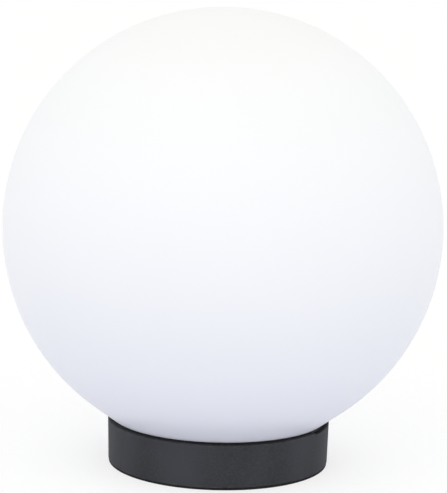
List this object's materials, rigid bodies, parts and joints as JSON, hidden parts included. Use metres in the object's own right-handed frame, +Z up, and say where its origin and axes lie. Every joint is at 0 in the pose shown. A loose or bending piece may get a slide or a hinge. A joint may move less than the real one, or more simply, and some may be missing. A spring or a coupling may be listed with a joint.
{
  "type": "garden globe light",
  "caption": "Round opal globe light for a gate post or pillar, with a globe that screws into a low black moulded base.",
  "frame": {"origin": "middle of the underside of the base, where the light stands on its pillar", "axes": "+Z up through the middle of the globe; the front, as pictured, faces -Y"},
  "size_m": [0.2499, 0.25, 0.2612],
  "materials": {
    "opal_acrylic": "satin",
    "black_moulded_plastic": "fine texture",
    "black_rubber": "matte",
    "foam_rubber": "closed-cell foam",
    "silicone": "satin",
    "zinc_plated_steel": "zinc plated",
    "brass": "satin",
    "nickel_plated_brass": "nickel plated",
    "white_thermoset": "moulded",
    "steatite": "unglazed",
    "white_nylon": "moulded",
    "brown_sheath": "satin",
    "blue_sheath": "satin",
    "green_yellow_sheath": "striped",
    "tinned_copper": "tinned",
    "white_bulb_plastic": "satin",
    "frosted_polycarbonate": "frosted",
    "black_glass": "gloss",
    "solder": "dull",
    "spun_aluminium": "spun",
    "white_circuit_board": "solder mask",
    "green_circuit_board": "solder mask",
    "phosphor": "gel",
    "black_sleeve": "shrink sleeve",
    "copper_winding": "enamel"
  },
  "bodies": {
    "base": {"base_housing": "black_moulded_plastic", "base_seal": "foam_rubber", "cable_grommet": "black_rubber", "lampholder_bracket": "zinc_plated_steel", "bracket_screws": "zinc_plated_steel", "lampholder_body": "white_thermoset", "lampholder_core": "steatite", "lampholder_fixing_screws": "zinc_plated_steel", "screw_shell": "nickel_plated_brass", "shell_rivets": "brass", "centre_contact": "brass", "shell_contact": "brass", "lampholder_terminal_screws": "zinc_plated_steel", "terminal_block_body": "white_nylon", "terminal_block_inserts": "brass", "terminal_block_screws": "zinc_plated_steel", "terminal_block_fixing_screw": "zinc_plated_steel", "live_lead": "brown_sheath", "neutral_lead": "blue_sheath", "earth_lead": "green_yellow_sheath", "earth_ring_terminal": "tinned_copper", "earth_washer": "zinc_plated_steel", "earth_screw": "zinc_plated_steel"},
    "gasket": {"globe_gasket": "black_rubber"},
    "globe": {"globe": "opal_acrylic"},
    "bulb_ring": {"bulb_seal_ring": "silicone"},
    "bulb": {"bulb_tip_contact": "solder", "bulb_cap_insulator": "black_glass", "bulb_cap_shell": "nickel_plated_brass", "bulb_housing": "white_bulb_plastic", "bulb_heat_sink": "spun_aluminium", "bulb_led_board": "white_circuit_board", "bulb_leds": "phosphor", "bulb_board_screws": "zinc_plated_steel", "bulb_driver_board": "green_circuit_board", "bulb_driver_capacitor": "black_sleeve", "bulb_driver_coil": "copper_winding", "bulb_diffuser": "frosted_polycarbonate"}
  },
  "joints": [
    {"name": "globe_lift", "type": "slide", "parent": "base", "child": "gasket", "axis": [0, 0, 1], "range_m": [0, 0.00751]},
    {"name": "globe_turn", "type": "hinge", "parent": "gasket", "child": "globe", "pos_m": [0, 0, 0.0264], "axis": [0, 0, 1], "range_deg": [0, 450]},
    {"name": "bulb_lift", "type": "slide", "parent": "base", "child": "bulb_ring", "axis": [0, 0, 1], "range_m": [0, 0.01453]},
    {"name": "bulb_turn", "type": "hinge", "parent": "bulb_ring", "child": "bulb", "pos_m": [0, 0, 0.0655], "axis": [0, 0, 1], "range_deg": [0, 1440]}
  ],
  "couplings": [
    {"joint": "globe_lift", "follows": "globe_turn", "m_per_rad": 0.00095493},
    {"joint": "bulb_lift", "follows": "bulb_turn", "m_per_rad": 0.00057757}
  ]
}
